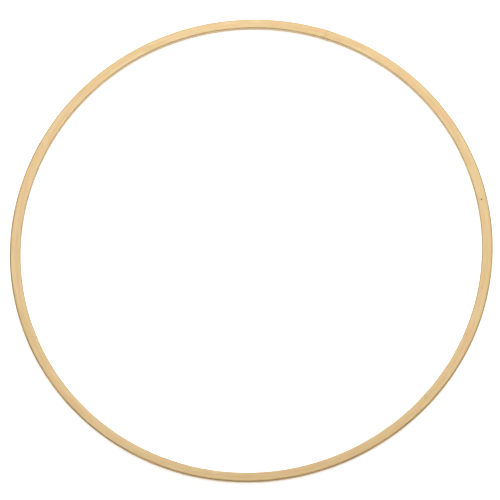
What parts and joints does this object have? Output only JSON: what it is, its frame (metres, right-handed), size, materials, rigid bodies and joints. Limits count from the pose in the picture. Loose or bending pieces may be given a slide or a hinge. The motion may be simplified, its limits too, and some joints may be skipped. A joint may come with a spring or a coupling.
{
  "type": "wreath frame",
  "caption": "Flat round hoop of bent bamboo laths glued face to face with long scarf joints, a bare ring to tie or wire a wreath to.",
  "frame": {"origin": "centre of the hoop, on its underside", "axes": "+Z is the hoop's axis, up from the surface that it lies on; the hoop's slightly longer diameter lies 30 degrees from +X towards +Y"},
  "size_m": [0.3014, 0.2986, 0.005],
  "materials": {
    "outer_bamboo": "sanded satin bamboo",
    "inner_bamboo": "sanded satin bamboo",
    "wood_glue": "cured amber wood glue"
  },
  "bodies": {
    "root": {"outer_lath": "outer_bamboo", "inner_lath": "inner_bamboo", "lamination_glue_line": "wood_glue", "outer_scarf_glue": "wood_glue", "inner_scarf_glue": "wood_glue"}
  },
  "joints": []
}
